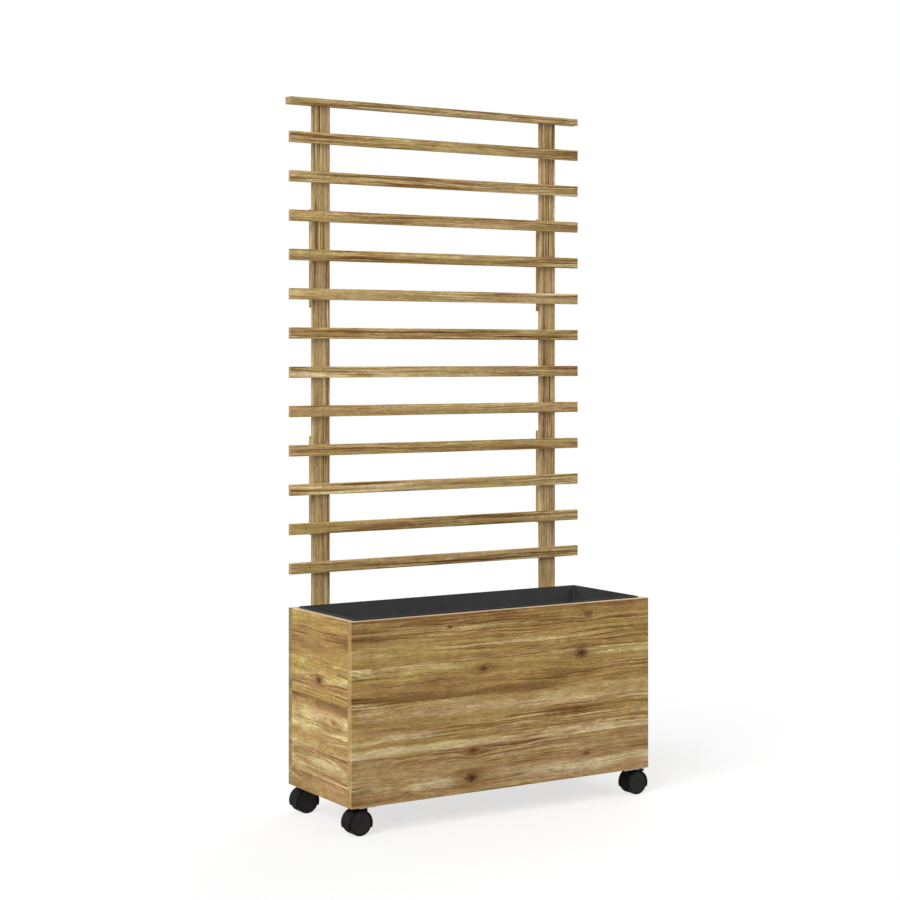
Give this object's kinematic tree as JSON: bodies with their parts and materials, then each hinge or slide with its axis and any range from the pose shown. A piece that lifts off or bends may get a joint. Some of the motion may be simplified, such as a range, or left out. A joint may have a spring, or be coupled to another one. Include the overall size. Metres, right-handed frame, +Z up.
{
  "type": "planter with trellis",
  "caption": "Rectangular wooden planter box with a plastic liner, on twin-wheel swivel casters, with a slatted trellis standing against its back.",
  "frame": {"origin": "on the floor, at the middle of the footprint of the trough and trellis", "axes": "+X along the trough to the right, +Y to the back where the trellis stands, +Z up"},
  "size_m": [0.7554, 0.2958, 1.5203],
  "materials": {
    "panel_wood": "oiled, horizontal grain",
    "inner_wood": "raw",
    "dowel_wood": "raw",
    "trellis_wood": "oiled",
    "liner_plastic": "matt",
    "screw_steel": "satin",
    "plate_metal": "black",
    "caster_plastic": "matt black",
    "wheel_plastic": "matt black",
    "lever_plastic": "matt black"
  },
  "bodies": {
    "planter": {"front_panel": "panel_wood", "back_panel": "panel_wood", "left_end_panel": "panel_wood", "right_end_panel": "panel_wood", "bottom_board": "inner_wood", "left_cross_batten": "inner_wood", "right_cross_batten": "inner_wood", "corner_dowels": "dowel_wood", "liner": "liner_plastic", "left_post_lower": "trellis_wood", "left_post_middle": "trellis_wood", "left_post_upper": "trellis_wood", "left_splice_lower": "trellis_wood", "left_splice_upper": "trellis_wood", "right_post_lower": "trellis_wood", "right_post_middle": "trellis_wood", "right_post_upper": "trellis_wood", "right_splice_lower": "trellis_wood", "right_splice_upper": "trellis_wood", "slat_01": "trellis_wood", "slat_02": "trellis_wood", "slat_03": "trellis_wood", "slat_04": "trellis_wood", "slat_05": "trellis_wood", "slat_06": "trellis_wood", "slat_07": "trellis_wood", "slat_08": "trellis_wood", "slat_09": "trellis_wood", "slat_10": "trellis_wood", "slat_11": "trellis_wood", "slat_12": "trellis_wood", "top_rail": "trellis_wood", "slat_brads": "screw_steel", "trellis_screws": "screw_steel", "batten_screws": "screw_steel", "plate_screws": "screw_steel", "caster_plates": "plate_metal", "swivel_stems": "screw_steel"},
    "front_left_swivel": {"front_left_hood": "caster_plastic", "front_left_axle": "screw_steel"},
    "front_left_near_wheel": {"front_left_near_wheel": "wheel_plastic"},
    "front_left_far_wheel": {"front_left_far_wheel": "wheel_plastic"},
    "front_right_swivel": {"front_right_hood": "caster_plastic", "front_right_axle": "screw_steel", "front_right_lever_pin": "screw_steel"},
    "front_right_near_wheel": {"front_right_near_wheel": "wheel_plastic"},
    "front_right_far_wheel": {"front_right_far_wheel": "wheel_plastic"},
    "front_right_brake": {"front_right_brake_lever": "lever_plastic"},
    "back_left_swivel": {"back_left_hood": "caster_plastic", "back_left_axle": "screw_steel"},
    "back_left_near_wheel": {"back_left_near_wheel": "wheel_plastic"},
    "back_left_far_wheel": {"back_left_far_wheel": "wheel_plastic"},
    "back_right_swivel": {"back_right_hood": "caster_plastic", "back_right_axle": "screw_steel", "back_right_lever_pin": "screw_steel"},
    "back_right_near_wheel": {"back_right_near_wheel": "wheel_plastic"},
    "back_right_far_wheel": {"back_right_far_wheel": "wheel_plastic"},
    "back_right_brake": {"back_right_brake_lever": "lever_plastic"}
  },
  "joints": [
    {"name": "front_left_swivel_turn", "type": "hinge", "parent": "planter", "child": "front_left_swivel", "pos_m": [-0.334, -0.124, 0.045], "axis": [0, 0, 1], "continuous": true},
    {"name": "front_left_near_wheel_spin", "type": "hinge", "parent": "front_left_swivel", "child": "front_left_near_wheel", "pos_m": [-0.3495, -0.13575, 0.025], "axis": [0, 1, 0], "continuous": true},
    {"name": "front_left_far_wheel_spin", "type": "hinge", "parent": "front_left_swivel", "child": "front_left_far_wheel", "pos_m": [-0.3495, -0.11225, 0.025], "axis": [0, 1, 0], "continuous": true},
    {"name": "front_right_swivel_turn", "type": "hinge", "parent": "planter", "child": "front_right_swivel", "pos_m": [0.334, -0.124, 0.045], "axis": [0, 0, 1], "continuous": true},
    {"name": "front_right_near_wheel_spin", "type": "hinge", "parent": "front_right_swivel", "child": "front_right_near_wheel", "pos_m": [0.3495, -0.13575, 0.025], "axis": [0, 1, 0], "continuous": true},
    {"name": "front_right_far_wheel_spin", "type": "hinge", "parent": "front_right_swivel", "child": "front_right_far_wheel", "pos_m": [0.3495, -0.11225, 0.025], "axis": [0, 1, 0], "continuous": true},
    {"name": "front_right_brake_turn", "type": "hinge", "parent": "front_right_swivel", "child": "front_right_brake", "pos_m": [0.363, -0.124, 0.0455], "axis": [0, 1, 0], "range_deg": [0, 15]},
    {"name": "back_left_swivel_turn", "type": "hinge", "parent": "planter", "child": "back_left_swivel", "pos_m": [-0.334, 0.105, 0.045], "axis": [0, 0, 1], "continuous": true},
    {"name": "back_left_near_wheel_spin", "type": "hinge", "parent": "back_left_swivel", "child": "back_left_near_wheel", "pos_m": [-0.3495, 0.09325, 0.025], "axis": [0, 1, 0], "continuous": true},
    {"name": "back_left_far_wheel_spin", "type": "hinge", "parent": "back_left_swivel", "child": "back_left_far_wheel", "pos_m": [-0.3495, 0.11675, 0.025], "axis": [0, 1, 0], "continuous": true},
    {"name": "back_right_swivel_turn", "type": "hinge", "parent": "planter", "child": "back_right_swivel", "pos_m": [0.334, 0.105, 0.045], "axis": [0, 0, 1], "continuous": true},
    {"name": "back_right_near_wheel_spin", "type": "hinge", "parent": "back_right_swivel", "child": "back_right_near_wheel", "pos_m": [0.3495, 0.09325, 0.025], "axis": [0, 1, 0], "continuous": true},
    {"name": "back_right_far_wheel_spin", "type": "hinge", "parent": "back_right_swivel", "child": "back_right_far_wheel", "pos_m": [0.3495, 0.11675, 0.025], "axis": [0, 1, 0], "continuous": true},
    {"name": "back_right_brake_turn", "type": "hinge", "parent": "back_right_swivel", "child": "back_right_brake", "pos_m": [0.363, 0.105, 0.0455], "axis": [0, 1, 0], "range_deg": [0, 15]}
  ]
}
